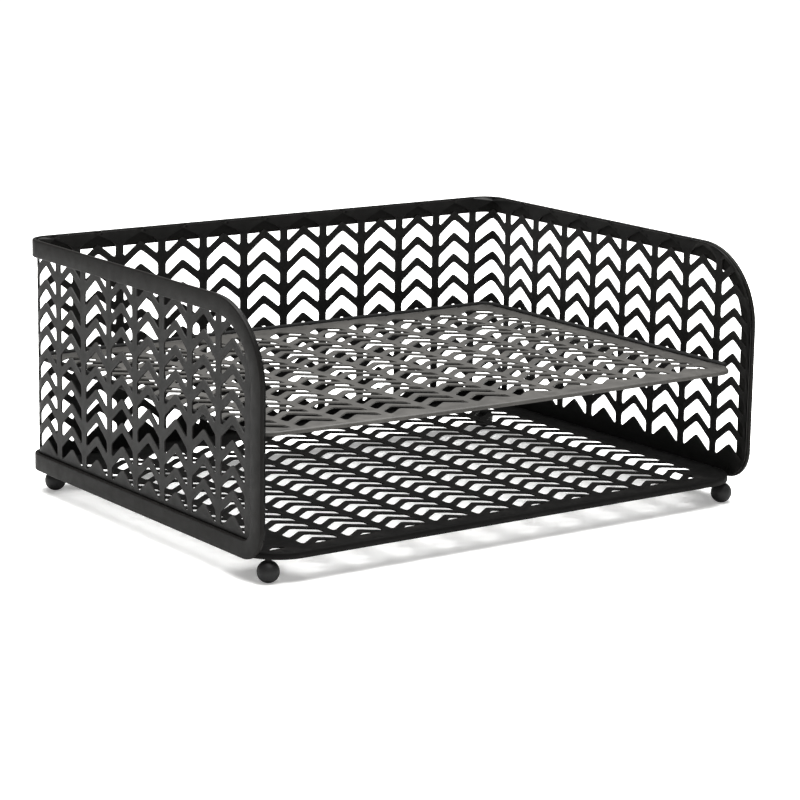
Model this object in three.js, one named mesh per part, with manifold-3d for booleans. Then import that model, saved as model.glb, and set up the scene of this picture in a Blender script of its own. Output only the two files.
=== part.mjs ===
// Two-tier letter tray in perforated sheet steel, in millimetres, +Z up.
// X runs across the width, Y from the open front to the back wall, and the origin is on the
// ground under the middle of the tray. One perforated sheet bends round both back corners to make
// the walls; flat bars edge it; a floor sheet and a fixed shelf make the two bays.
import * as THREE from 'three';
import * as BufferGeometryUtils from 'three/addons/utils/BufferGeometryUtils.js';
import Module from 'manifold-3d';

// ---------------------------------------------------------------- driving dimensions
const WIDTH = 340;
const DEPTH = 256;
const HEIGHT = 150;
const RIM_BOTTOM = 13; // underside of the bottom bar, above the ground
const CLEARANCE = 0.3; // gap left between neighbouring pieces

const BAR_WIDTH = 10.3;
const BAR_THICKNESS = 2.4;
const BACK_RADIUS = 14; // outside of the back corners, seen from above
const UPPER_FRONT_RADIUS = 46; // outside of the side wall's upper front corner
const LOWER_FRONT_RADIUS = 18;

const SHEET = 0.8;
const SHEET_REVEAL = 0.8; // how far the wall sheet stops short of the bar's outer edge

const PITCH_ACROSS = 29; // from one column of openings to the next
const PITCH_ALONG = 13.6; // from one chevron to the next in its column
const COLUMN_START = 22.5; // a column's place on the back wall, from the middle
const CHEVRON_HALF_WIDTH = 11.95;
const CHEVRON_SLOPE = 0.81; // fall of each arm per millimetre sideways
const CHEVRON_APEX = 7.98; // outer apex, ahead of the chevron's centre
const CHEVRON_CROTCH = -0.07; // inner apex
const CHEVRON_FOOT = -8.6; // square-cut end of each arm

const WALL_ROW_TOP = 141.8; // height of the highest row's centre, half hidden by the top bar
const WALL_ROWS = 9;

const FLOOR_TOP = 17;
const FLOOR_LIP = 3.7; // depth of the lip folded down along the front, below the sheet's top
const FLOOR_FRONT_INSET = 1; // lip face, behind the front of the bars
const FLOOR_CORNER_RADIUS = 25;
const FLOOR_ROW_BACK = 98.3; // rearmost row's centre
const FLOOR_ROWS = 17;
const FLOOR_FRONT_MARGIN = 11;
const FLOOR_SIDE_MARGIN = 8;

const SHELF_TOP = 80;
const SHELF_FRONT_INSET = 6;
const SHELF_HEM = 2.3;
const SHELF_CORNER_RADIUS = 14;
const SHELF_ROW_FRONT = -103; // foremost row's centre
const SHELF_ROWS = 16;
const SHELF_ROD_RADIUS = 1.8;
const SHELF_ROD_RISE = 1.7; // top of the border rod above the shelf

const FOOT_RADIUS = 6.18;
const FOOT_CENTRE_HEIGHT = 6;
const FOOT_TOP = 11.6;
const FOOT_PAD_RADIUS = 1.5; // small flat that the ball stands on
const FOOT_INSET_SIDE = 12; // ball centre from the tray's side
const FOOT_INSET_FRONT = 11;
const FOOT_INSET_BACK = 13;
const STUD_RADIUS = 1.4;

const BEND_FACETS = 4; // flats round each back corner
const FRONT_BEND_FACETS = 10;
const CUT = 3; // how far a cutter stands out of the sheet on each side

// ---------------------------------------------------------------- derived dimensions
const halfWidth = WIDTH / 2;
const halfDepth = DEPTH / 2;
const barBack = BAR_THICKNESS + CLEARANCE; // from the bar's outer face to the wall sheet
const wallInner = barBack + SHEET; // from the bar's outer face to the wall's inner face
const wallMiddle = barBack + SHEET / 2;
const bendX = halfWidth - BACK_RADIUS; // centre of each back corner
const bendY = halfDepth - BACK_RADIUS;
const middleRadius = BACK_RADIUS - wallMiddle;
const innerRadius = BACK_RADIUS - wallInner;
const bendLength = (middleRadius * Math.PI) / 2;
const fieldLow = RIM_BOTTOM + BAR_WIDTH;
const fieldHigh = HEIGHT - BAR_WIDTH;
const fieldFront = -halfDepth + BAR_WIDTH;
const insideX = halfWidth - wallInner - CLEARANCE; // room for the floor and the shelf
const insideRadius = innerRadius - CLEARANCE;

const paint = (colour, roughness) =>
  new THREE.MeshStandardMaterial({ color: colour, roughness, metalness: 0.15 });

// ---------------------------------------------------------------- solids and cuts
const wasm = await Module();
wasm.setup();

function toSolid(geometry) {
  const bare = geometry.clone();
  bare.deleteAttribute('normal');
  bare.deleteAttribute('uv');
  const merged = BufferGeometryUtils.mergeVertices(bare, 1e-4);
  return new wasm.Manifold(
    new wasm.Mesh({
      numProp: 3,
      vertProperties: merged.attributes.position.array,
      triVerts: merged.index.array,
    }),
  );
}

function toGeometry(solid) {
  const mesh = solid.getMesh();
  const geometry = new THREE.BufferGeometry();
  geometry.setAttribute('position', new THREE.BufferAttribute(mesh.vertProperties, 3));
  geometry.setIndex(new THREE.BufferAttribute(mesh.triVerts, 1));
  geometry.computeVertexNormals();
  return geometry;
}

const joined = (geometries) =>
  geometries.map(toSolid).reduce((whole, solid) => whole.add(solid));

// Openings are kept only where they lie inside the field, then cut out of the sheet.
function perforate(sheet, openings, field) {
  return toGeometry(toSolid(sheet).subtract(joined(openings).intersect(toSolid(field))));
}

// ---------------------------------------------------------------- outlines and extrusions
// An arc in a shape gets two flats for each curve segment.
const extrude = (shape, depth, facets) =>
  new THREE.ExtrudeGeometry(shape, { depth, bevelEnabled: false, curveSegments: facets / 2 });

// An outline in X, Y raised from one height to another.
function inPlan(shape, low, high, facets = BEND_FACETS) {
  return extrude(shape, high - low, facets).translate(0, 0, low);
}

// An outline in Y, Z carried from one X to another.
function fromSide(shape, low, high, facets = FRONT_BEND_FACETS) {
  const turn = new THREE.Matrix4().makeBasis(
    new THREE.Vector3(0, 1, 0),
    new THREE.Vector3(0, 0, 1),
    new THREE.Vector3(1, 0, 0),
  );
  return extrude(shape, high - low, facets).applyMatrix4(turn).translate(low, 0, 0);
}

// An outline in X, Z carried from one Y to another.
function fromFront(shape, low, high) {
  const turn = new THREE.Matrix4().makeBasis(
    new THREE.Vector3(1, 0, 0),
    new THREE.Vector3(0, 0, 1),
    new THREE.Vector3(0, -1, 0),
  );
  return extrude(shape, high - low, BEND_FACETS).applyMatrix4(turn).translate(0, high, 0);
}

const block = (x0, x1, y0, y1, z0, z1) =>
  new THREE.BoxGeometry(x1 - x0, y1 - y0, z1 - z0).translate(
    (x0 + x1) / 2,
    (y0 + y1) / 2,
    (z0 + z1) / 2,
  );

// A rectangle whose corners, from low-low round to low-high, each have a radius.
function roundedOutline(u0, v0, u1, v1, [lowLow, highLow, highHigh, lowHigh]) {
  const quarter = Math.PI / 2;
  const shape = new THREE.Shape();
  shape.moveTo(u0 + lowLow, v0);
  shape.lineTo(u1 - highLow, v0);
  if (highLow > 0) shape.absarc(u1 - highLow, v0 + highLow, highLow, -quarter, 0, false);
  shape.lineTo(u1, v1 - highHigh);
  if (highHigh > 0) shape.absarc(u1 - highHigh, v1 - highHigh, highHigh, 0, quarter, false);
  shape.lineTo(u0 + lowHigh, v1);
  if (lowHigh > 0) shape.absarc(u0 + lowHigh, v1 - lowHigh, lowHigh, quarter, 2 * quarter, false);
  shape.lineTo(u0, v0 + lowLow);
  if (lowLow > 0) shape.absarc(u0 + lowLow, v0 + lowLow, lowLow, 2 * quarter, 3 * quarter, false);
  return shape;
}

// Part of a flat ring, between two angles counted from the first axis towards the second.
function ringSector(u, v, inner, outer, from, to) {
  const shape = new THREE.Shape();
  shape.absarc(u, v, outer, from, to, false);
  shape.absarc(u, v, inner, to, from, true);
  return shape;
}

// A chevron pointing along the second axis.
function chevron(u, v) {
  const shoulder = CHEVRON_APEX - CHEVRON_SLOPE * CHEVRON_HALF_WIDTH;
  return new THREE.Shape([
    new THREE.Vector2(u, v + CHEVRON_APEX),
    new THREE.Vector2(u - CHEVRON_HALF_WIDTH, v + shoulder),
    new THREE.Vector2(u - CHEVRON_HALF_WIDTH, v + CHEVRON_FOOT),
    new THREE.Vector2(u, v + CHEVRON_CROTCH),
    new THREE.Vector2(u + CHEVRON_HALF_WIDTH, v + CHEVRON_FOOT),
    new THREE.Vector2(u + CHEVRON_HALF_WIDTH, v + shoulder),
  ]);
}

const steps = (first, pitch, count) => Array.from({ length: count }, (_, i) => first + pitch * i);
const wallRows = steps(WALL_ROW_TOP, -PITCH_ALONG, WALL_ROWS);
const columnAt = (index) => COLUMN_START + PITCH_ACROSS * index;

// ---------------------------------------------------------------- the tray
const tray = new THREE.Group();

function place(name, geometry, material) {
  const mesh = new THREE.Mesh(geometry, material);
  mesh.name = name;
  tray.add(mesh);
}

const sides = [
  { side: 'left', sign: -1 },
  { side: 'right', sign: 1 },
];
const mirrored = (sign, near, far) => (sign > 0 ? [near, far] : [-far, -near]);

// ---------------------------------------------------------------- wall sheet
const sheetLow = RIM_BOTTOM + SHEET_REVEAL;
const sheetHigh = HEIGHT - SHEET_REVEAL;

// Each corner's stretch of the unrolled sheet. On the right a column lies across the bend, so the
// stretch takes the whole column; on the left the bend itself has a solid web down its middle.
const cornerStretch = {
  left: [bendX, bendX + bendLength],
  right: [columnAt(5) - PITCH_ACROSS / 2, columnAt(5) + PITCH_ACROSS / 2],
};

function backWall() {
  const low = halfDepth - wallInner;
  const high = halfDepth - barBack;
  const leftEnd = -cornerStretch.left[0] + CLEARANCE;
  const rightEnd = cornerStretch.right[0] - CLEARANCE;
  const sheet = block(leftEnd, rightEnd, low, high, sheetLow, sheetHigh);
  const field = block(-halfWidth, halfWidth, low - CUT, high + CUT, fieldLow, fieldHigh);
  const columns = steps(-7, 1, 13).map(columnAt);
  const openings = columns.flatMap((x) =>
    wallRows.map((z) => fromFront(chevron(x, z), low - CUT, high + CUT)),
  );
  return perforate(sheet, openings, field);
}

// Distance along the unrolled sheet, from the middle of the back, gives a place on a side wall.
const sideWallY = (distance) => bendY - (distance - bendX - bendLength);

function sideWall(side, sign) {
  const [low, high] = mirrored(sign, halfWidth - wallInner, halfWidth - barBack);
  const front = -halfDepth + SHEET_REVEAL;
  const back = sideWallY(cornerStretch[side][1]) - CLEARANCE;
  const outline = roundedOutline(front, sheetLow, back, sheetHigh, [
    LOWER_FRONT_RADIUS - SHEET_REVEAL,
    0,
    0,
    UPPER_FRONT_RADIUS - SHEET_REVEAL,
  ]);
  const fieldOutline = roundedOutline(fieldFront, fieldLow, bendY + CUT, fieldHigh, [
    LOWER_FRONT_RADIUS - BAR_WIDTH,
    0,
    0,
    UPPER_FRONT_RADIUS - BAR_WIDTH,
  ]);
  const indices = sign > 0 ? steps(5, 1, 9) : steps(-7, -1, 8);
  const columns = indices.map((index) => sideWallY(Math.abs(columnAt(index))));
  const openings = columns.flatMap((y) =>
    wallRows.map((z) => fromSide(chevron(y, z), low - CUT, high + CUT)),
  );
  const field = fromSide(fieldOutline, low - CUT, high + CUT);
  return perforate(fromSide(outline, low, high), openings, field);
}

// Middle of the wall sheet and its outward direction, at a distance along the unrolled sheet.
function wallPath(distance) {
  const sign = Math.sign(distance);
  const past = Math.abs(distance) - bendX;
  const angle = THREE.MathUtils.clamp(past / middleRadius, 0, Math.PI / 2);
  const outward = new THREE.Vector3(sign * Math.sin(angle), Math.cos(angle), 0);
  const point = new THREE.Vector3(sign * bendX, bendY, 0).addScaledVector(outward, middleRadius);
  point.x += sign * Math.min(past, 0);
  point.y -= Math.max(past - bendLength, 0);
  return { point, outward };
}

const bendStations = steps(bendX, bendLength / BEND_FACETS, BEND_FACETS + 1);

// A chevron wrapped round a back corner: a bar of four-sided sections, one at each station.
function wrappedChevron(distance, height) {
  const corners = bendStations.map((along) => Math.sign(distance) * along);
  const own = [-CHEVRON_HALF_WIDTH, 0, CHEVRON_HALF_WIDTH].map((across) => distance + across);
  const stations = [...corners, ...own]
    .filter((s) => Math.abs(s - distance) <= CHEVRON_HALF_WIDTH)
    .sort((a, b) => a - b);
  const vertices = stations.flatMap((s) => {
    const across = Math.abs(s - distance);
    const fall = (CHEVRON_CROTCH - CHEVRON_FOOT) / CHEVRON_HALF_WIDTH;
    const top = height + CHEVRON_APEX - CHEVRON_SLOPE * across;
    const low = height + CHEVRON_CROTCH - fall * across;
    const { point, outward } = wallPath(s);
    const at = (out, z) => point.clone().addScaledVector(outward, out).setZ(z).toArray();
    return [...at(-CUT, low), ...at(CUT, low), ...at(CUT, top), ...at(-CUT, top)];
  });
  const faces = [0, 2, 1, 0, 3, 2];
  for (let i = 0; i + 1 < stations.length; i += 1) {
    for (let j = 0; j < 4; j += 1) {
      const a = 4 * i + j;
      const b = 4 * i + ((j + 1) % 4);
      faces.push(a, b, b + 4, a, b + 4, a + 4);
    }
  }
  const last = 4 * (stations.length - 1);
  faces.push(last, last + 1, last + 2, last, last + 2, last + 3);
  const geometry = new THREE.BufferGeometry();
  geometry.setAttribute('position', new THREE.Float32BufferAttribute(vertices, 3));
  geometry.setIndex(faces);
  return geometry;
}

function cornerWall(side, sign) {
  const [from, to] = cornerStretch[side];
  const inside = bendStations.filter((along) => along > from && along < to);
  const stations = [from, ...inside, to].map((along) => wallPath(sign * along));
  const edge = (out) =>
    stations.map(({ point, outward }) => {
      const moved = point.clone().addScaledVector(outward, out);
      return new THREE.Vector2(moved.x, moved.y);
    });
  const outline = new THREE.Shape([...edge(SHEET / 2), ...edge(-SHEET / 2).reverse()]);
  const columns = (sign > 0 ? [5] : [-6, -7]).map(columnAt);
  const openings = columns.flatMap((column) => wallRows.map((z) => wrappedChevron(column, z)));
  const field = block(-halfWidth, halfWidth, 0, halfDepth, fieldLow, fieldHigh);
  return perforate(inPlan(outline, sheetLow, sheetHigh), openings, field);
}

place('wall_back', backWall(), paint(0x1d1d1e, 0.55));
for (const { side, sign } of sides) {
  place(`wall_${side}`, sideWall(side, sign), paint(0x1d1d1e, 0.55));
  place(`wall_${side}_corner`, cornerWall(side, sign), paint(0x1d1d1e, 0.55));
}

// ---------------------------------------------------------------- edging bars
// Each level's bar runs along a side, round the back corner and along the back.
function barLevel(level, low, sideFront) {
  const high = low + BAR_WIDTH;
  const backInner = halfDepth - BAR_THICKNESS;
  const straight = bendX - CLEARANCE;
  place(`${level}_back`, block(-straight, straight, backInner, halfDepth, low, high), paint(0x262525, 0.5));
  for (const { side, sign } of sides) {
    const [x0, x1] = mirrored(sign, halfWidth - BAR_THICKNESS, halfWidth);
    const [from, to] = sign > 0 ? [0, Math.PI / 2] : [Math.PI / 2, Math.PI];
    const ring = ringSector(sign * bendX, bendY, BACK_RADIUS - BAR_THICKNESS, BACK_RADIUS, from, to);
    place(`${level}_${side}`, block(x0, x1, sideFront, bendY - CLEARANCE, low, high), paint(0x262525, 0.5));
    place(`${level}_${side}_corner`, inPlan(ring, low, high), paint(0x262525, 0.5));
  }
}

barLevel('top_bar', HEIGHT - BAR_WIDTH, -halfDepth + UPPER_FRONT_RADIUS + CLEARANCE);
barLevel('bottom_bar', RIM_BOTTOM, -halfDepth + LOWER_FRONT_RADIUS + CLEARANCE);

for (const { side, sign } of sides) {
  const [x0, x1] = mirrored(sign, halfWidth - BAR_THICKNESS, halfWidth);
  const upper = ringSector(
    -halfDepth + UPPER_FRONT_RADIUS,
    HEIGHT - UPPER_FRONT_RADIUS,
    UPPER_FRONT_RADIUS - BAR_WIDTH,
    UPPER_FRONT_RADIUS,
    Math.PI / 2,
    Math.PI,
  );
  const lower = ringSector(
    -halfDepth + LOWER_FRONT_RADIUS,
    RIM_BOTTOM + LOWER_FRONT_RADIUS,
    LOWER_FRONT_RADIUS - BAR_WIDTH,
    LOWER_FRONT_RADIUS,
    Math.PI,
    1.5 * Math.PI,
  );
  const postLow = RIM_BOTTOM + LOWER_FRONT_RADIUS + CLEARANCE;
  const postHigh = HEIGHT - UPPER_FRONT_RADIUS - CLEARANCE;
  const post = block(x0, x1, -halfDepth, fieldFront, postLow, postHigh);
  place(`front_post_${side}`, post, paint(0x2b2a29, 0.5));
  place(`front_bend_upper_${side}`, fromSide(upper, x0, x1), paint(0x2b2a29, 0.5));
  place(`front_bend_lower_${side}`, fromSide(lower, x0, x1), paint(0x2b2a29, 0.5));
}

// ---------------------------------------------------------------- floor and shelf sheets
// A level sheet that fills the walls, with rounded front corners and its front edge folded down.
function foldedSheet({ x, front, back, backRadius, frontRadius, top, fold }) {
  const outline = roundedOutline(-x, front, x, back, [frontRadius, frontRadius, backRadius, backRadius]);
  const slab = toSolid(inPlan(outline, top - fold, top));
  const hollow = roundedOutline(-x + SHEET, front + SHEET, x - SHEET, back + CUT, [
    frontRadius - SHEET,
    frontRadius - SHEET,
    0,
    0,
  ]);
  const behind = front + frontRadius;
  const under = toSolid(inPlan(hollow, top - fold - CUT, top - SHEET)).add(
    toSolid(block(-x - CUT, x + CUT, behind, back + CUT, top - fold - CUT, top - SHEET)),
  );
  return slab.subtract(under);
}

function levelOpenings(rows, columns, top) {
  return columns.flatMap((x) => rows.map((y) => inPlan(chevron(x, y), top - CUT, top + CUT)));
}

function floorSheet() {
  const front = -halfDepth + FLOOR_FRONT_INSET;
  const sheet = foldedSheet({
    x: insideX,
    front,
    back: bendY + insideRadius,
    backRadius: insideRadius,
    frontRadius: FLOOR_CORNER_RADIUS,
    top: FLOOR_TOP,
    fold: FLOOR_LIP,
  });
  const rows = steps(FLOOR_ROW_BACK, -PITCH_ALONG, FLOOR_ROWS);
  const columns = steps(-6, 1, 11).map(columnAt);
  const [first, last] = [columns.at(0), columns.at(-1)];
  // Two openings over the front left foot are left out; the one over the right foot keeps one arm.
  const skipped = rows.slice(-3, -1);
  const halfRow = rows.at(-2);
  const openings = levelOpenings(rows, columns.slice(1, -1), FLOOR_TOP).concat(
    levelOpenings(rows.filter((y) => !skipped.includes(y)), [first], FLOOR_TOP),
    levelOpenings(rows.filter((y) => y !== halfRow), [last], FLOOR_TOP),
  );
  const [low, high] = [FLOOR_TOP - CUT, FLOOR_TOP + CUT];
  const reach = PITCH_ACROSS;
  const left = block(last - reach, last + 0.5, halfRow - reach, halfRow + reach, low, high);
  const arm = toSolid(levelOpenings([halfRow], [last], FLOOR_TOP)[0]).intersect(toSolid(left));
  const edge = insideX - FLOOR_SIDE_MARGIN;
  const fieldRadius = FLOOR_CORNER_RADIUS - FLOOR_SIDE_MARGIN;
  const field = roundedOutline(-edge, front + FLOOR_FRONT_MARGIN, edge, bendY, [
    fieldRadius,
    fieldRadius,
    0,
    0,
  ]);
  const cut = joined(openings)
    .add(arm)
    .intersect(toSolid(inPlan(field, 0, FLOOR_TOP + CUT)));
  return toGeometry(sheet.subtract(cut));
}

function shelfSheet() {
  const inset = 2 * (SHELF_ROD_RADIUS + CLEARANCE / 2);
  const sheet = foldedSheet({
    x: insideX - inset,
    front: -halfDepth + SHELF_FRONT_INSET,
    back: bendY + insideRadius - inset,
    backRadius: insideRadius - inset,
    frontRadius: SHELF_CORNER_RADIUS,
    top: SHELF_TOP,
    fold: SHELF_HEM,
  });
  const rows = steps(SHELF_ROW_FRONT, PITCH_ALONG, SHELF_ROWS);
  const openings = levelOpenings(rows, steps(-6, 1, 11).map(columnAt), SHELF_TOP);
  return toGeometry(sheet.subtract(joined(openings)));
}

place('floor_sheet', floorSheet(), paint(0x232222, 0.5));
place('shelf_sheet', shelfSheet(), paint(0x2c2b2a, 0.5));

// ---------------------------------------------------------------- shelf border rod
class CornerArc extends THREE.Curve {
  constructor(x, y, z, radius, from, to) {
    super();
    Object.assign(this, { x, y, z, radius, from, to });
  }

  getPoint(t) {
    const angle = THREE.MathUtils.lerp(this.from, this.to, t);
    return new THREE.Vector3(
      this.x + this.radius * Math.cos(angle),
      this.y + this.radius * Math.sin(angle),
      this.z,
    );
  }
}

const rodSection = new THREE.Shape().absarc(0, 0, SHELF_ROD_RADIUS, 0, 2 * Math.PI, false);
const rodAlong = (path, lengths) =>
  new THREE.ExtrudeGeometry(rodSection, { steps: lengths, curveSegments: 4, extrudePath: path });

const rodRadius = insideRadius - SHELF_ROD_RADIUS;
const rodZ = SHELF_TOP + SHELF_ROD_RISE - SHELF_ROD_RADIUS;
const rodX = bendX + rodRadius;
const rodY = bendY + rodRadius;
const rodFront = -halfDepth + SHELF_FRONT_INSET + SHELF_CORNER_RADIUS;
const straightRod = (x0, y0, x1, y1) =>
  rodAlong(new THREE.LineCurve3(new THREE.Vector3(x0, y0, rodZ), new THREE.Vector3(x1, y1, rodZ)), 1);

const rodEnd = bendX - CLEARANCE;
place('shelf_rod_back', straightRod(-rodEnd, rodY, rodEnd, rodY), paint(0x2b2a2a, 0.5));
for (const { side, sign } of sides) {
  const straight = straightRod(sign * rodX, rodFront, sign * rodX, bendY - CLEARANCE);
  const [from, to] = sign > 0 ? [0, Math.PI / 2] : [Math.PI / 2, Math.PI];
  const arc = new CornerArc(sign * bendX, bendY, rodZ, rodRadius, from, to);
  place(`shelf_rod_${side}`, straight, paint(0x2b2a2a, 0.5));
  place(`shelf_rod_${side}_corner`, rodAlong(arc, BEND_FACETS), paint(0x2b2a2a, 0.5));
}

// ---------------------------------------------------------------- ball feet and their studs
function ballFoot() {
  const arcSteps = 7;
  const low = -Math.asin(FOOT_CENTRE_HEIGHT / FOOT_RADIUS);
  const high = Math.asin((FOOT_TOP - FOOT_CENTRE_HEIGHT) / FOOT_RADIUS);
  const arc = steps(low, (high - low) / arcSteps, arcSteps + 1).map(
    (angle) =>
      new THREE.Vector2(
        FOOT_RADIUS * Math.cos(angle),
        FOOT_CENTRE_HEIGHT + FOOT_RADIUS * Math.sin(angle),
      ),
  );
  arc[0].set(FOOT_PAD_RADIUS, 0);
  const profile = [new THREE.Vector2(0, 0), ...arc, new THREE.Vector2(0, FOOT_TOP)];
  return new THREE.LatheGeometry(profile, 12).rotateX(Math.PI / 2);
}

for (const { side, sign } of sides) {
  const ends = [
    { end: 'front', y: -halfDepth + FOOT_INSET_FRONT },
    { end: 'back', y: halfDepth - FOOT_INSET_BACK },
  ];
  for (const { end, y } of ends) {
    const x = sign * (halfWidth - FOOT_INSET_SIDE);
    const studLow = FOOT_TOP + CLEARANCE;
    const studHigh = FLOOR_TOP - SHEET - CLEARANCE;
    const stud = new THREE.CylinderGeometry(STUD_RADIUS, STUD_RADIUS, studHigh - studLow, 8);
    stud.rotateX(Math.PI / 2).translate(x, y, (studLow + studHigh) / 2);
    place(`foot_${end}_${side}`, ballFoot().translate(x, y, 0), paint(0x323233, 0.45));
    place(`foot_stud_${end}_${side}`, stud, paint(0x323233, 0.45));
  }
}

export default tray;
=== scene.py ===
"""Letter tray: a two-tier tray in black powder-coated perforated steel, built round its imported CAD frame."""

import bmesh
import bpy
import numpy as np
from mathutils import Matrix, Vector


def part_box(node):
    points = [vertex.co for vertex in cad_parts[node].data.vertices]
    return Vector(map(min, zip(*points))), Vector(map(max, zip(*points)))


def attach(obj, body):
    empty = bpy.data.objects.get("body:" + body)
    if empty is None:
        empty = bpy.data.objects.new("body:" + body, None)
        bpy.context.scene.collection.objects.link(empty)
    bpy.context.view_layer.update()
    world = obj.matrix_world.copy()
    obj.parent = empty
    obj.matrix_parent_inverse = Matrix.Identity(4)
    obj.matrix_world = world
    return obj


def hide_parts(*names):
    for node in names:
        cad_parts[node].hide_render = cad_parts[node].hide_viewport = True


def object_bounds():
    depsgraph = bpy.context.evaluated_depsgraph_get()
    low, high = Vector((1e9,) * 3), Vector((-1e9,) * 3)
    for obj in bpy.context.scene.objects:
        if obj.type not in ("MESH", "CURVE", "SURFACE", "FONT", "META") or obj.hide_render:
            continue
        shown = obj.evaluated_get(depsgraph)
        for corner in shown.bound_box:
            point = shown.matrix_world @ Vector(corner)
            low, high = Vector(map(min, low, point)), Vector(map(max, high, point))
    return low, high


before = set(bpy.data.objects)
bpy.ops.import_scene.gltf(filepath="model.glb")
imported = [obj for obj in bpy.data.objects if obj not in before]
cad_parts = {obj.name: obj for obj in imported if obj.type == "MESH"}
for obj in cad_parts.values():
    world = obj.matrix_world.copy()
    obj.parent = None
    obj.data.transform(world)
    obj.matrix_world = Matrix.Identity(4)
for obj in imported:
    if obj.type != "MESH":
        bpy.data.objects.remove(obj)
cad_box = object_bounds()

MM = 0.001

# ------------------------------------------------------------ sizes, in millimetres
low_corner, high_corner = (np.array(corner) / MM for corner in cad_box)
WIDTH, DEPTH, HEIGHT = high_corner - low_corner


def node_box(name):
    """The lowest and highest corners of a CAD node, in millimetres."""
    low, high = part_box(name)
    return np.array(low) / MM, np.array(high) / MM


HALF_WIDTH = WIDTH / 2
HALF_DEPTH = DEPTH / 2
bar_low, bar_high = node_box("bottom_bar_back")
corner_low, corner_high = node_box("bottom_bar_right_corner")
RIM_BOTTOM = bar_low[2]
BAR_WIDTH = bar_high[2] - bar_low[2]
BAR_THICKNESS = bar_high[1] - bar_low[1]
BACK_RADIUS = corner_high[0] - corner_low[0]
upper_low, upper_high = node_box("front_bend_upper_right")
lower_low, lower_high = node_box("front_bend_lower_right")
UPPER_RADIUS = upper_high[1] - upper_low[1]
LOWER_RADIUS = lower_high[1] - lower_low[1]
wall_low, wall_high = node_box("wall_back")
SHEET = wall_high[1] - wall_low[1]
WALL_MIDDLE = HALF_DEPTH - (wall_low[1] + wall_high[1]) / 2
WALL_BOTTOM, WALL_TOP = wall_low[2], wall_high[2]
REVEAL = WALL_BOTTOM - RIM_BOTTOM
BEND_X = HALF_WIDTH - BACK_RADIUS
BEND_Y = HALF_DEPTH - BACK_RADIUS
MIDDLE_RADIUS = BACK_RADIUS - WALL_MIDDLE
BEND_LENGTH = MIDDLE_RADIUS * np.pi / 2
SIDE_LENGTH = BEND_Y + HALF_DEPTH - REVEAL

WALL_PITCH = np.array([29.0, 13.6])
WALL_START = np.array([22.5, 141.8])
WALL_ROWS = 9
LEFT_COLUMNS, RIGHT_COLUMNS = -14, 13

FLOOR_PITCH = np.array([29.0, 13.6])
FLOOR_START = np.array([-151.5, 98.3])
FLOOR_COLUMNS, FLOOR_ROWS = 11, 17

SHELF_PITCH = np.array([29.0, 13.6])
SHELF_START = np.array([-151.5, -103.0])
SHELF_COLUMNS, SHELF_ROWS = 11, 16

FLOOR_CORNER_RADIUS = 25.0
FLOOR_BACK_RADIUS = 10.2
SHELF_CORNER_RADIUS = 14.0
SHELF_BACK_RADIUS = 6.3
SHELF_SKEW = 8.0
WALL_MARGIN = 1.6
LEVEL_MARGIN = 1.5
FOLD_BEND = 1.1
BAR_EDGE_RADIUS = 0.75
FOOT_CENTRE_HEIGHT = 6.0

HALF_OPENING = 11.95
TIP_REACH = 5.2
TIP_LEVEL = 3.6
SLOPE = 0.81
APEX = 7.98
CROTCH = -0.07
FOOT = -8.1


# ------------------------------------------------------------ meshes
def add_mesh(name, vertices, faces, smooth=True):
    """A mesh object at the origin from points in millimetres and quads. Points that no quad uses are
    dropped, and points that fall together are welded."""
    mesh = bpy.data.meshes.new(name)
    used, corners = np.unique(faces, return_inverse=True)
    mesh.from_pydata((vertices[used] * MM).tolist(), [], corners.reshape(faces.shape).tolist())
    work = bmesh.new()
    work.from_mesh(mesh)
    bmesh.ops.remove_doubles(work, verts=work.verts, dist=0.004 * MM)
    bmesh.ops.dissolve_degenerate(work, edges=work.edges, dist=0.002 * MM)
    work.to_mesh(mesh)
    work.free()
    mesh.validate()
    mesh.polygons.foreach_set("use_smooth", [smooth] * len(mesh.polygons))
    piece = bpy.data.objects.new(name, mesh)
    bpy.context.scene.collection.objects.link(piece)
    return piece


def grid_faces(rows, columns, close_rows=False, close_columns=False):
    """Corner numbers of the quads of a grid of points numbered row by row."""
    row = np.arange(rows if close_rows else rows - 1)[:, None]
    column = np.arange(columns if close_columns else columns - 1)[None, :]
    next_row = (row + 1) % rows
    next_column = (column + 1) % columns
    corners = [
        row * columns + column,
        next_row * columns + column,
        next_row * columns + next_column,
        row * columns + next_column,
    ]
    return np.stack(np.broadcast_arrays(*corners), axis=-1).reshape(-1, 4)


def finish(piece, slot_name, material, *nodes):
    """Gives a piece its material, lets it ride on the tray and hides the CAD nodes it stands for."""
    piece.data.materials.append(material)
    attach(piece, "root")
    if nodes:
        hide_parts(*nodes)
    return piece


# ------------------------------------------------------------ perforated sheets
def round_v(across, radius):
    """Distance from the middle with its corner rounded: the root of across squared plus radius squared, less
    the radius."""
    return np.sqrt(across**2 + radius**2) - radius


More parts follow.
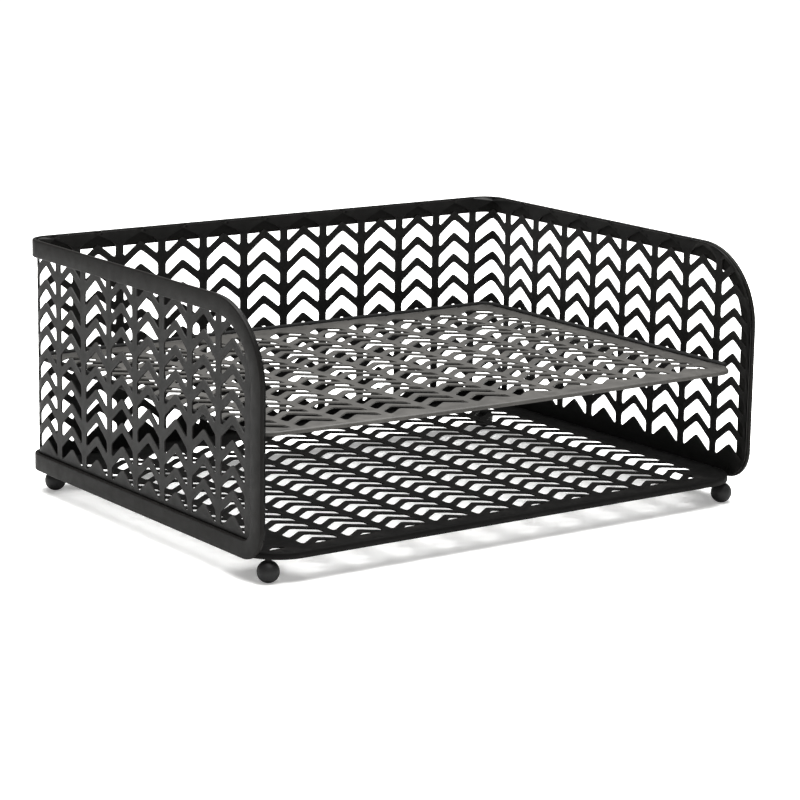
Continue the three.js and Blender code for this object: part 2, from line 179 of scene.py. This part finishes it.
def opening_outline(reach=HALF_OPENING, foot=FOOT):
    """Outline of one chevron opening, anticlockwise from its lower left: the lower edge runs along a rounded
    V cut level at the foot, and the upper edge along the same V raised. Both edges curl in at the ends."""
    lower = np.array([1, 0.93, 0.85, 0.78, 0.6, 0.4, 0.2, 0.07]) * reach
    upper = np.array([1, 0.965, 0.92, 0.7, 0.5, 0.3, 0.14, 0.06]) * reach
    lower = np.concatenate([-lower, [0], lower[::-1]])
    upper = np.concatenate([upper, [0], -upper[::-1]])
    corner = min(1.1, 0.45 * reach)

    def curl(across):
        """Depth of a quarter circle at each end of an edge."""
        into = np.clip(np.abs(across) - (reach - corner), 0, corner)
        return corner - np.sqrt(corner**2 - into**2)

    def top(across):
        return APEX - SLOPE * round_v(across, 1.3)

    def bottom(across):
        sloped = CROTCH - SLOPE * round_v(across, 0.8)
        return (sloped + foot + np.sqrt((sloped - foot) ** 2 + 0.6)) / 2

    height = np.minimum(top(reach) - bottom(reach), 2 * corner)
    scale = max(height, 0) / (2 * corner)
    lower_edge = np.stack([lower, bottom(lower) + curl(lower) * scale], axis=1)
    upper_edge = np.stack([upper, top(upper) - curl(upper) * scale], axis=1)
    side_low, side_high = lower_edge[-1], upper_edge[0]
    right = side_low + (side_high - side_low) * np.array([[0.33], [0.67]])
    left = right[::-1] * [-1, 1]
    return np.concatenate([lower_edge, right, upper_edge, left])


def cell_outline(pitch):
    """Outline of the cell round one opening, point for point with opening_outline: a V-shaped band one pitch
    high between two upright lines one pitch apart, so that neighbouring cells share their points."""
    half = np.array([1, 0.9, 0.78, 0.64, 0.48, 0.32, 0.16, 0.07]) * pitch[0] / 2
    across = np.concatenate([-half, [0], half[::-1]])
    middle = (APEX + CROTCH) / 2
    v = -SLOPE * np.abs(across)
    low = np.stack([across, middle - pitch[1] / 2 + v], axis=1)
    high = low[::-1] + [0, pitch[1]]
    rise = np.array([[0.33], [0.67]])
    right = low[-1] + [0, pitch[1]] * rise
    left = low[0] + [0, pitch[1]] * rise[::-1]
    return np.concatenate([low, right, high, left])


def keep_inside(points, low, high, radii):
    """Moves points that lie outside a rectangle with rounded corners to the nearest place on its outline.
    The radii are those of the low-low, high-low, low-high and high-high corners."""
    middle = (np.asarray(low) + np.asarray(high)) / 2
    corner = (points[..., 0] > middle[0]).astype(int) + 2 * (points[..., 1] > middle[1])
    radius = np.asarray(radii, float)[corner][..., None]
    core = np.clip(points, low + radius, high - radius)
    away = points - core
    distance = np.linalg.norm(away, axis=-1, keepdims=True)
    outside = distance >= radius - 1e-9
    on_edge = core + away * radius / np.maximum(distance, 1e-9)
    return np.where(outside, on_edge, points), outside[..., 0]


def perforated_sheet(pitch, centres, outlines, low, high, radii, margin):
    """Flat perforated sheet as points and quads: for each cell of the lattice, a ring of quads between its
    opening's outline and the cell's own. A cell with no opening closes on its middle. What lies outside the
    sheet's rounded outline is drawn in to it, and openings stay a margin away from it."""
    cell = cell_outline(pitch)
    cells = centres[:, None, :] + cell[None]
    holes = centres[:, None, :] + outlines
    cells, on_edge = keep_inside(cells, low, high, radii)
    inner_radii = np.maximum(np.asarray(radii) - margin, 0)
    holes, _ = keep_inside(holes, low + margin, high - margin, inner_radii)
    count, around = cells.shape[:2]
    points = np.concatenate([holes, cells], axis=1).reshape(-1, 2)
    step = np.arange(around)
    following = (step + 1) % around
    ring = np.stack([step, step + around, following + around, following], axis=1)
    faces = (np.arange(count)[:, None, None] * 2 * around + ring[None]).reshape(-1, 4)
    edge_flag = np.concatenate([np.zeros_like(on_edge), on_edge], axis=1).reshape(-1)
    a, b, c, d = (points[faces[:, i]] for i in range(4))
    diagonal, other = c - a, d - b
    area = np.abs(diagonal[:, 0] * other[:, 1] - diagonal[:, 1] * other[:, 0]) / 2
    return points, faces[area > 1e-4], edge_flag


def lattice(start, pitch, columns, rows):
    """Centres of the cells with whole-number places in the lattice, column by column."""
    column, row = np.meshgrid(columns, rows, indexing="ij")
    return np.stack([start[0] + pitch[0] * column, start[1] + pitch[1] * row], axis=-1).reshape(-1, 2)


def thicken(piece, thickness):
    """Thickness on both sides of a sheet's middle."""
    solidify = piece.modifiers.new("thickness", "SOLIDIFY")
    solidify.thickness = thickness * MM
    solidify.offset = 0
    shade_by_angle(piece)


def shade_by_angle(piece, degrees=35):
    """Smooth shading on gentle bends only: edges sharper than the angle stay crisp."""
    work = bmesh.new()
    work.from_mesh(piece.data)
    for edge in work.edges:
        edge.smooth = len(edge.link_faces) == 2 and edge.calc_face_angle(0) < np.radians(degrees)
    work.to_mesh(piece.data)
    work.free()


def wall_place(flat):
    """The flat wall sheet bent round both back corners: distance along the sheet and height become a place
    on a straight back, two quarter circles and two straight sides."""
    along, height = flat[:, 0], flat[:, 1]
    side = np.sign(along)
    past = np.abs(along) - BEND_X
    angle = np.clip(past / MIDDLE_RADIUS, 0, np.pi / 2)
    x = side * (BEND_X + MIDDLE_RADIUS * np.sin(angle) + np.minimum(past, 0))
    y = BEND_Y + MIDDLE_RADIUS * np.cos(angle) - np.maximum(past - BEND_LENGTH, 0)
    return np.stack([x, y, height], axis=1)


def make_wall(material):
    """The one wall sheet, with its openings running on behind the bars."""
    end = BEND_X + BEND_LENGTH + SIDE_LENGTH
    columns = np.arange(LEFT_COLUMNS - 1, RIGHT_COLUMNS + 2)
    rows = -np.arange(-1, WALL_ROWS + 2)
    centres = lattice(WALL_START, WALL_PITCH, columns, rows)
    outlines = np.repeat(opening_outline()[None], len(centres), axis=0)
    column, row = np.meshgrid(columns, rows, indexing="ij")
    pierced = (column >= LEFT_COLUMNS) & (column <= RIGHT_COLUMNS) & (row <= 0) & (row > -WALL_ROWS)
    outlines[~pierced.reshape(-1)] = [0, (APEX + CROTCH) / 2]
    bottom, top = LOWER_RADIUS - REVEAL, UPPER_RADIUS - REVEAL
    points, faces, _ = perforated_sheet(
        WALL_PITCH,
        centres,
        outlines,
        np.array([-end, WALL_BOTTOM]),
        np.array([end, WALL_TOP]),
        [bottom, bottom, top, top],
        WALL_MARGIN,
    )
    wall = add_mesh("wall_sheet", wall_place(points), faces)
    thicken(wall, SHEET)
    nodes = ["wall_back", "wall_left", "wall_right", "wall_left_corner", "wall_right_corner"]
    return finish(wall, "wall_paint", material, *nodes)


def folded_front(points, faces, edge_flag, low, high, radius, top, fold, bend):
    """Adds to a level sheet a front edge rolled down: each point of the front outline carries a profile that
    turns through a quarter circle and drops to the fold's depth."""
    used = np.zeros(len(points), bool)
    used[faces.reshape(-1)] = True
    core_x = np.clip(points[:, 0], low[0] + radius, high[0] - radius)
    core_y = low[1] + radius
    away = points - np.stack([core_x, np.full(len(points), core_y)], axis=1)
    front = used & edge_flag & (away[:, 1] < 1e-6)
    angle = np.arctan2(away[:, 0], -away[:, 1])
    travel = core_x + radius * angle
    order = np.unique(np.round(travel[front], 3), return_index=True)[1]
    chosen = np.flatnonzero(front)[order]
    outward = np.stack([np.sin(angle[chosen]), -np.cos(angle[chosen])], axis=1)
    turn = np.linspace(0, np.pi / 2, 6)
    out = np.concatenate([bend * np.sin(turn), [bend]])
    drop = np.concatenate([bend * (1 - np.cos(turn)), [fold]])
    base = points[chosen]
    flat = base[:, None, :] + outward[:, None, :] * out[None, :, None]
    level = np.broadcast_to(top - drop[None, :, None], (len(chosen), len(out), 1))
    strip = np.concatenate([flat, level], axis=2).reshape(-1, 3)
    sheet = np.column_stack([points, np.full(len(points), top)])
    strip_faces = grid_faces(len(chosen), len(out)) + len(sheet)
    return np.concatenate([sheet, strip]), np.concatenate([faces[:, ::-1], strip_faces])


def make_level_sheet(
    name,
    node,
    slot_name,
    material,
    pitch,
    start,
    columns,
    rows,
    radius,
    back_radius,
    row_direction,
    skew,
    adjust,
):
    """A level perforated sheet with rounded front corners and its front edge folded down."""
    low, high = node_box(node)
    bend = FOLD_BEND
    middle = high[2] - SHEET / 2
    fold = high[2] - low[2] - SHEET / 2
    edge_low = np.array([low[0], low[1] + SHEET / 2 + bend])
    edge_high = high[:2]
    radii = [radius - bend, radius - bend, back_radius, back_radius]
    all_columns = np.arange(-1, columns + 1)
    all_rows = np.arange(-3, rows + 3)
    centres = lattice(start, pitch * [1, row_direction], all_columns, all_rows)
    outlines = np.repeat(opening_outline()[None], len(centres), axis=0)
    column, row = (grid.reshape(-1) for grid in np.meshgrid(all_columns, all_rows, indexing="ij"))
    pierced = (column >= 0) & (column < columns) & (row >= 0) & (row < rows)
    if adjust:
        adjust(outlines, column, row, pierced)
    outlines[~pierced] = [0, (APEX + CROTCH) / 2]
    points, faces, edge_flag = perforated_sheet(
        pitch, centres, outlines, edge_low, edge_high, radii, LEVEL_MARGIN
    )
    points, faces = folded_front(
        points, faces, edge_flag, edge_low, edge_high, radius - bend, middle, fold, bend
    )
    points[:, 1] += skew * lean(points, low[1])
    sheet = add_mesh(name, points, faces)
    thicken(sheet, SHEET)
    return finish(sheet, slot_name, material, node)


def lean(points, front):
    """How far each point follows an askew front edge: nothing from the middle to the right, growing to the
    left end as a power of the distance, and only in the plain margin in front of the openings."""
    across = np.clip(-points[:, 0] / HALF_WIDTH, 0, 1) ** 1.4
    depth = np.clip((front + 13 - points[:, 1]) / 9, 0, 1)
    return across * depth**2 * (3 - 2 * depth)


def floor_rules(outlines, column, row, pierced):
    """The floor's last row shows only its tips. Two openings over the front left foot are left out, and the
    one over the front right foot keeps only its left arm."""
    last = row == FLOOR_ROWS - 1
    outlines[last] = opening_outline(TIP_REACH, TIP_LEVEL)
    near_feet = row == FLOOR_ROWS - 2
    half = near_feet & (column == FLOOR_COLUMNS - 1)
    outlines[half, :, 0] = np.minimum(outlines[half, :, 0], 0.5)
    pierced[(column == 0) & (near_feet | (row == FLOOR_ROWS - 3))] = False


# ------------------------------------------------------------ swept bars and rods
def sweep(path, outward, section, closed):
    """A section carried along a path: at each station, its two measures are laid off along the outward
    direction and along the direction square to that and to the path."""
    ahead = np.roll(path, -1, axis=0) - np.roll(path, 1, axis=0)
    if not closed:
        ahead[0] = path[1] - path[0]
        ahead[-1] = path[-1] - path[-2]
    ahead /= np.linalg.norm(ahead, axis=1, keepdims=True)
    sideways = np.cross(ahead, outward)
    sideways /= np.linalg.norm(sideways, axis=1, keepdims=True)
    points = path[:, None] + section[..., :1] * outward[:, None] + section[..., 1:] * sideways[:, None]
    faces = grid_faces(len(path), section.shape[-2], close_rows=closed, close_columns=True)
    return points.reshape(-1, 3), faces[:, ::-1]


def rounded_section(half_thickness, half_width, radius, steps=4):
    """Rectangle with quarter-circle corners, anticlockwise."""
    quarter = np.linspace(0, np.pi / 2, steps)
    arcs = []
    for index, (u, v) in enumerate([(1, 1), (-1, 1), (-1, -1), (1, -1)]):
        angle = quarter + index * np.pi / 2
        centre = np.array([u * (half_thickness - radius), v * (half_width - radius)])
        arcs.append(centre + radius * np.stack([np.cos(angle), np.sin(angle)], axis=1))
    return np.concatenate(arcs)


def arc(centre, radius, start, end, steps):
    """Points of a circle in its own two axes, from one angle to another."""
    angle = np.linspace(start, end, steps)
    return np.asarray(centre) + radius * np.stack([np.cos(angle), np.sin(angle)], axis=1)


def right_half_of_edging():
    """Middle line and outward direction of the edging bar from the top's middle at the back, forward along
    the right side, down the front and back along the bottom."""
    inset, half = BAR_THICKNESS / 2, BAR_WIDTH / 2
    corner = arc([BEND_X, BEND_Y], BACK_RADIUS - inset, np.pi / 2, 0, 13)
    top, bottom = HEIGHT - half, RIM_BOTTOM + half
    upper_y, upper_z = -HALF_DEPTH + UPPER_RADIUS, HEIGHT - UPPER_RADIUS
    lower_y, lower_z = -HALF_DEPTH + LOWER_RADIUS, RIM_BOTTOM + LOWER_RADIUS
    upper = arc([upper_y, upper_z], UPPER_RADIUS - half, np.pi / 2, np.pi, 25)
    lower = arc([lower_y, lower_z], LOWER_RADIUS - half, np.pi, 1.5 * np.pi, 15)
    back = np.linspace(0, BEND_X, 14)[:-1]
    side = np.linspace(BEND_Y, upper_y, 10)[1:-1]
    post = np.linspace(upper_z, lower_z, 6)[1:-1]
    under = np.linspace(lower_y, BEND_Y, 12)[1:-1]
    x = HALF_WIDTH - inset
    path = np.concatenate([
        np.stack([back, np.full(13, HALF_DEPTH - inset), np.full(13, top)], axis=1),
        np.column_stack([corner, np.full(13, top)]),
        np.stack([np.full(8, x), side, np.full(8, top)], axis=1),
        np.column_stack([np.full(25, x), upper]),
        np.stack([np.full(4, x), np.full(4, -HALF_DEPTH + half), post], axis=1),
        np.column_stack([np.full(15, x), lower]),
        np.stack([np.full(10, x), under, np.full(10, bottom)], axis=1),
        np.column_stack([corner[::-1], np.full(13, bottom)]),
        np.stack([back[::-1], np.full(13, HALF_DEPTH - inset), np.full(13, bottom)], axis=1),
    ])
    outward = path - np.stack([
        np.clip(path[:, 0], None, BEND_X),
        np.clip(path[:, 1], None, BEND_Y),
        path[:, 2],
    ], axis=1)
    outward /= np.linalg.norm(outward, axis=1, keepdims=True)
    return path, outward


def make_edging(material):
    """The flat bar that edges the walls, as one closed loop with softly rounded edges."""
    path, outward = right_half_of_edging()
    mirror = np.array([-1, 1, 1])
    path = np.concatenate([path, path[-2:0:-1] * mirror])
    outward = np.concatenate([outward, outward[-2:0:-1] * mirror])
    section = rounded_section(BAR_THICKNESS / 2, BAR_WIDTH / 2, BAR_EDGE_RADIUS)
    edging = add_mesh("edging_bar", *sweep(path, outward, section, closed=True))
    shade_by_angle(edging)
    nodes = [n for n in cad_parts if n.startswith(("top_bar", "bottom_bar", "front_"))]
    return finish(edging, "bar_paint", material, *nodes)


def make_shelf_rod(material):
    """The border rod, with domed ends: a circle whose radius falls to nothing as a quarter circle."""
    low, high = node_box("shelf_rod_right")
    back_low, back_high = node_box("shelf_rod_back")
    radius = (high[2] - low[2]) / 2
    x, z = (low[0] + high[0]) / 2, (low[2] + high[2]) / 2
    y = (back_low[1] + back_high[1]) / 2
    turn = y - BEND_Y
    corner = arc([BEND_X, BEND_Y], turn, np.pi / 2, 0, 11)
    side = np.linspace(BEND_Y, low[1], 40)[1:]
    dome = low[1] - radius * np.sin(np.linspace(0, np.pi / 2, 7)[1:])
    back = np.linspace(0, BEND_X, 30)[:-1]
    right = np.concatenate([
        np.stack([back, np.full(len(back), y)], axis=1),
        corner,
        np.stack([np.full(len(side), x), side], axis=1),
        np.stack([np.full(len(dome), x), dome], axis=1),
    ])
    flat = np.concatenate([right[:0:-1] * [-1, 1], right])
    path = np.column_stack([flat, np.full(len(flat), z)])
    size = np.full(len(path), radius)
    size[-len(dome):] = radius * np.cos(np.linspace(0, np.pi / 2, 7)[1:])
    size[: len(dome)] = size[: -len(dome) - 1 : -1]
    angle = np.linspace(0, 2 * np.pi, 16, endpoint=False)
    circle = np.stack([np.cos(angle), np.sin(angle)], axis=1)
    section = size[:, None, None] * circle[None]
    outward = np.broadcast_to([0.0, 0.0, 1.0], path.shape)
    rod = add_mesh("shelf_border_rod", *sweep(path, outward, section, closed=False))
    nodes = [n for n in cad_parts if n.startswith("shelf_rod")]
    return finish(rod, "shelf_paint", material, *nodes)


# ------------------------------------------------------------ turned pieces
def revolve(name, centre, radii, heights, around=40):
    """A profile turned about an upright axis: radius and height at each station, all round the circle."""
    angle = np.linspace(0, 2 * np.pi, around, endpoint=False)
    x = centre[0] + radii[:, None] * np.cos(angle)
    y = centre[1] + radii[:, None] * np.sin(angle)
    z = np.broadcast_to(heights[:, None], x.shape)
    points = np.stack([x, y, z], axis=-1).reshape(-1, 3)
    faces = grid_faces(len(radii), around, close_columns=True)
    return add_mesh(name, points, faces[:, ::-1])


def make_foot(corner, material):
    """A ball foot with the small flat it stands on, and its stud with a weld fillet at each end."""
    low, high = node_box(f"foot_{corner}")
    centre = (low + high) / 2
    radius = (high[0] - low[0]) / 2
    middle = FOOT_CENTRE_HEIGHT
    start = -np.arcsin(min(middle / radius, 0.999))
    tilt = np.linspace(start, np.pi / 2, 22)
    radii = np.concatenate([[0], radius * np.cos(tilt)])
    heights = np.concatenate([[0], np.maximum(middle + radius * np.sin(tilt), 0)])
    heights = np.minimum(heights, high[2] + 0.25)
    ball = revolve(f"ball_{corner}", centre, radii, heights)
    finish(ball, "foot_paint", material, f"foot_{corner}")
    stud_low, stud_high = node_box(f"foot_stud_{corner}")
    reach = (stud_high[0] - stud_low[0]) / 2
    share = np.linspace(0, 1, 15)
    heights = stud_low[2] - 0.2 + share * (stud_high[2] - stud_low[2] + 0.3)
    flare = 0.9 * np.exp(-share * 9) + 0.7 * np.exp(-(1 - share) * 9)
    stud_radii = np.concatenate([[0], reach + flare, [0]])
    stud_heights = np.concatenate([[heights[0]], heights, [heights[-1]]])
    stud = revolve(f"stud_{corner}", centre, stud_radii, stud_heights, around=24)
    shade_by_angle(stud, 50)
    finish(stud, "foot_paint", material, f"foot_stud_{corner}")


# ------------------------------------------------------------ materials
def socket(group, name, kind, direction, value=None):
    made = group.interface.new_socket(name=name, in_out=direction, socket_type=kind)
    if value is not None:
        made.default_value = value
    return made


def powder_coat_group():
    """Powder coat: a fine orange-peel grain, cloudy changes of shade and gloss, small pale specks, and a
    painted highlight that makes sharp edges a little paler in patches."""
    group = bpy.data.node_groups.new("powder_coat", "ShaderNodeTree")
    socket(group, "Paint", "NodeSocketColor", "INPUT", (0.02, 0.02, 0.02, 1))
    socket(group, "Dusty paint", "NodeSocketColor", "INPUT", (0.04, 0.04, 0.038, 1))
    # Colour of the painted highlight on sharp edges.
    socket(group, "Painted edge highlight", "NodeSocketColor", "INPUT", (0.035, 0.034, 0.032, 1))
    socket(group, "Grain size", "NodeSocketFloat", "INPUT", 900.0)
    socket(group, "Gloss low", "NodeSocketFloat", "INPUT", 0.42)
    socket(group, "Gloss high", "NodeSocketFloat", "INPUT", 0.6)
    socket(group, "Colour", "NodeSocketColor", "OUTPUT")
    socket(group, "Roughness", "NodeSocketFloat", "OUTPUT")
    socket(group, "Height", "NodeSocketFloat", "OUTPUT")
    nodes, links = group.nodes, group.links
    given = nodes.new("NodeGroupInput")
    result = nodes.new("NodeGroupOutput")
    place = nodes.new("ShaderNodeTexCoord")

    def noise(scale, detail, roughness=0.5):
        made = nodes.new("ShaderNodeTexNoise")
        made.inputs["Scale"].default_value = scale
        made.inputs["Detail"].default_value = detail
        made.inputs["Roughness"].default_value = roughness
        links.new(place.outputs["Object"], made.inputs["Vector"])
        return made

    def spread(source, low, high):
        made = nodes.new("ShaderNodeMapRange")
        made.inputs["From Min"].default_value = low
        made.inputs["From Max"].default_value = high
        links.new(source, made.inputs["Value"])
        return made

    grain = noise(900, 3, 0.6)
    links.new(given.outputs["Grain size"], grain.inputs["Scale"])
    cloud = noise(14, 4, 0.6)
    mottle = noise(160, 3, 0.6)
    specks = noise(2600, 1)
    cloud_share = spread(cloud.outputs["Fac"], 0.3, 0.75)
    speck_share = spread(specks.outputs["Fac"], 0.66, 0.74)
    mottle_share = spread(mottle.outputs["Fac"], 0.25, 0.8)

    blend = nodes.new("ShaderNodeMath")
    blend.operation = "MULTIPLY"
    links.new(cloud_share.outputs["Result"], blend.inputs[0])
    links.new(mottle_share.outputs["Result"], blend.inputs[1])
    add_specks = nodes.new("ShaderNodeMath")
    add_specks.operation = "MAXIMUM"
    links.new(blend.outputs[0], add_specks.inputs[0])
    links.new(speck_share.outputs["Result"], add_specks.inputs[1])
    colour = nodes.new("ShaderNodeMix")
    colour.data_type = "RGBA"
    links.new(add_specks.outputs[0], colour.inputs["Factor"])
    links.new(given.outputs["Paint"], colour.inputs["A"])
    links.new(given.outputs["Dusty paint"], colour.inputs["B"])
    # Painted highlight: sharp convex edges, found by pointiness, are mixed in patches towards a paler colour.
    shape = nodes.new("ShaderNodeNewGeometry")
    ridge = spread(shape.outputs["Pointiness"], 0.53, 0.66)
    highlight_share = nodes.new("ShaderNodeMath")
    highlight_share.operation = "MULTIPLY"
    links.new(ridge.outputs["Result"], highlight_share.inputs[0])
    links.new(mottle_share.outputs["Result"], highlight_share.inputs[1])
    edge_highlighted = nodes.new("ShaderNodeMix")
    edge_highlighted.data_type = "RGBA"
    links.new(highlight_share.outputs[0], edge_highlighted.inputs["Factor"])
    links.new(colour.outputs["Result"], edge_highlighted.inputs["A"])
    links.new(given.outputs["Painted edge highlight"], edge_highlighted.inputs["B"])
    links.new(edge_highlighted.outputs["Result"], result.inputs["Colour"])

    gloss = nodes.new("ShaderNodeMix")
    gloss.data_type = "FLOAT"
    links.new(mottle_share.outputs["Result"], gloss.inputs["Factor"])
    links.new(given.outputs["Gloss low"], gloss.inputs["A"])
    links.new(given.outputs["Gloss high"], gloss.inputs["B"])
    links.new(gloss.outputs["Result"], result.inputs["Roughness"])
    links.new(grain.outputs["Fac"], result.inputs["Height"])
    return group


POWDER_COAT = powder_coat_group()


def powder_coat(name, paint, dusty, gloss=(0.42, 0.6), grain=900, bump=0.25, specular=0.15):
    """A powder-coated finish with its own shade, gloss and grain."""
    material = bpy.data.materials.new(name)
    material.use_nodes = True
    nodes, links = material.node_tree.nodes, material.node_tree.links
    shader = nodes["Principled BSDF"]
    coat = nodes.new("ShaderNodeGroup")
    coat.node_tree = POWDER_COAT
    coat.inputs["Paint"].default_value = (*paint, 1)
    coat.inputs["Dusty paint"].default_value = (*dusty, 1)
    coat.inputs["Gloss low"].default_value = gloss[0]
    coat.inputs["Gloss high"].default_value = gloss[1]
    coat.inputs["Grain size"].default_value = grain
    relief = nodes.new("ShaderNodeBump")
    relief.inputs["Strength"].default_value = bump
    relief.inputs["Distance"].default_value = 0.0001
    links.new(coat.outputs["Height"], relief.inputs["Height"])
    links.new(coat.outputs["Colour"], shader.inputs["Base Color"])
    links.new(coat.outputs["Roughness"], shader.inputs["Roughness"])
    links.new(relief.outputs["Normal"], shader.inputs["Normal"])
    shader.inputs["Specular IOR Level"].default_value = specular
    return material


# ------------------------------------------------------------ stage, light and camera
FLOOR_GLOW = 0.3
FLOOR_REACH = 2.2


def make_stage():
    """A wide pale floor that looks white and keeps faint shadows."""
    mesh = bpy.data.meshes.new("floor")
    half = FLOOR_REACH
    corners = [(-half, -half, 0), (half, -half, 0), (half, half, 0), (-half, half, 0)]
    mesh.from_pydata(corners, [], [(0, 1, 2, 3)])
    floor = bpy.data.objects.new("studio_floor", mesh)
    bpy.context.scene.collection.objects.link(floor)
    material = bpy.data.materials.new("pale_floor")
    material.use_nodes = True
    nodes, links = material.node_tree.nodes, material.node_tree.links
    shader = nodes["Principled BSDF"]
    shader.inputs["Base Color"].default_value = (0.93, 0.93, 0.92, 1)
    shader.inputs["Roughness"].default_value = 0.9
    shader.inputs["Specular IOR Level"].default_value = 0.1
    shader.inputs["Emission Color"].default_value = (1, 1, 0.995, 1)
    ray = nodes.new("ShaderNodeLightPath")
    glow = nodes.new("ShaderNodeMath")
    glow.operation = "MULTIPLY"
    glow.inputs[1].default_value = FLOOR_GLOW
    links.new(ray.outputs["Is Camera Ray"], glow.inputs[0])
    links.new(glow.outputs[0], shader.inputs["Emission Strength"])
    mesh.materials.append(material)


def set_plain_colours():
    """Colours shown as they are, with no film curve."""
    bpy.context.scene.view_settings.view_transform = "Standard"


def make_world():
    """Even white surroundings, dimmer as a light than as a backdrop."""
    world = bpy.data.worlds.new("studio")
    bpy.context.scene.world = world
    world.use_nodes = True
    nodes, links = world.node_tree.nodes, world.node_tree.links
    nodes.clear()
    output = nodes.new("ShaderNodeOutputWorld")
    backdrop = nodes.new("ShaderNodeBackground")
    fill = nodes.new("ShaderNodeBackground")
    choose = nodes.new("ShaderNodeMixShader")
    ray = nodes.new("ShaderNodeLightPath")
    backdrop.inputs["Color"].default_value = (1, 1, 1, 1)
    backdrop.inputs["Strength"].default_value = 1.1
    fill.inputs["Color"].default_value = (1, 0.985, 0.96, 1)
    fill.inputs["Strength"].default_value = 0.26
    links.new(ray.outputs["Is Camera Ray"], choose.inputs["Fac"])
    links.new(fill.outputs["Background"], choose.inputs[1])
    links.new(backdrop.outputs["Background"], choose.inputs[2])
    links.new(choose.outputs["Shader"], output.inputs["Surface"])


def add_light(name, place, target, size, power, tint=(1, 1, 1)):
    """A square soft light aimed at a point."""
    data = bpy.data.lights.new(name, "AREA")
    data.shape = "SQUARE"
    data.size = size
    data.energy = power
    data.color = tint
    light = bpy.data.objects.new(name, data)
    light.location = place
    light.rotation_euler = (Vector(target) - Vector(place)).to_track_quat("-Z", "Y").to_euler()
    bpy.context.scene.collection.objects.link(light)


CAMERA_PLACE = np.array([-0.92905, -1.31464, 0.41404])
CAMERA_TURNS = [-35.50, 12.481, 0.857]  # azimuth, elevation and roll, in degrees
CAMERA_LENS = 126.8


def make_camera():
    """A long lens, above and to the left of the open front."""
    azimuth, elevation, roll = np.radians(CAMERA_TURNS)
    back = np.array([
        np.sin(azimuth) * np.cos(elevation),
        -np.cos(azimuth) * np.cos(elevation),
        np.sin(elevation),
    ])
    right = np.cross(-back, [0, 0, 1])
    right /= np.linalg.norm(right)
    up = np.cross(back, right)
    tilted_right = right * np.cos(roll) + up * np.sin(roll)
    tilted_up = -right * np.sin(roll) + up * np.cos(roll)
    data = bpy.data.cameras.new("camera")
    data.lens = CAMERA_LENS
    data.sensor_width = 36
    data.clip_start = 0.05
    camera = bpy.data.objects.new("camera", data)
    turn = np.eye(4)
    turn[:3, 0], turn[:3, 1], turn[:3, 2], turn[:3, 3] = tilted_right, tilted_up, back, CAMERA_PLACE
    camera.matrix_world = Matrix(turn.tolist())
    bpy.context.scene.collection.objects.link(camera)
    bpy.context.scene.camera = camera


set_plain_colours()
make_camera()
make_world()
make_stage()
add_light("overhead", (0.1, 0.2, 2.2), (0, 0, 0), 2.4, 185)
add_light("front_left", (-0.8, -1.3, 0.3), (-0.1, -0.1, 0.05), 0.7, 1.6, (1, 0.96, 0.91))

soft = (0.6, 0.75)
wall_finish = powder_coat(
    "wall_finish",
    (0.0055, 0.0054, 0.0052),
    (0.0105, 0.0103, 0.0098),
    specular=0.12,
)
bar_finish = powder_coat("bar_finish", (0.0058, 0.0055, 0.0051), (0.011, 0.0105, 0.0096), specular=0.08)
# The floor's black is darker than the walls' black: painted shade, standing for the shade cast by the shelf
# above it.
floor_painted_shade_finish = powder_coat(
    "floor_painted_shade_finish",
    (0.003, 0.0029, 0.0028),
    (0.007, 0.0068, 0.0063),
    soft,
    specular=0.06,
)
# The shelf's paint and dust colours are several times paler than the black of the other parts: painted light,
# standing for the lit top of the same black coat.
shelf_painted_light_finish = powder_coat("shelf_painted_light_finish", (0.034, 0.0325, 0.03), (0.085, 0.081, 0.074), specular=0.3)
rod_finish = powder_coat("rod_finish", (0.005, 0.005, 0.005), (0.012, 0.012, 0.0113), soft)
foot_finish = powder_coat(
    "foot_finish",
    (0.01, 0.01, 0.0104),
    (0.018, 0.018, 0.018),
    grain=1200,
    specular=0.2,
)

make_wall(wall_finish)
make_edging(bar_finish)
make_level_sheet(
    "floor_panel", "floor_sheet", "floor_paint", floor_painted_shade_finish, FLOOR_PITCH, FLOOR_START,
    FLOOR_COLUMNS, FLOOR_ROWS, FLOOR_CORNER_RADIUS, FLOOR_BACK_RADIUS, row_direction=-1, skew=0,
    adjust=floor_rules,
)
make_level_sheet(
    "shelf_panel", "shelf_sheet", "shelf_paint", shelf_painted_light_finish, SHELF_PITCH, SHELF_START,
    SHELF_COLUMNS, SHELF_ROWS, SHELF_CORNER_RADIUS, SHELF_BACK_RADIUS, row_direction=1, skew=SHELF_SKEW,
    adjust=None,
)
make_shelf_rod(rod_finish)
for end in ("front", "back"):
    for side in ("left", "right"):
        make_foot(f"{end}_{side}", foot_finish)
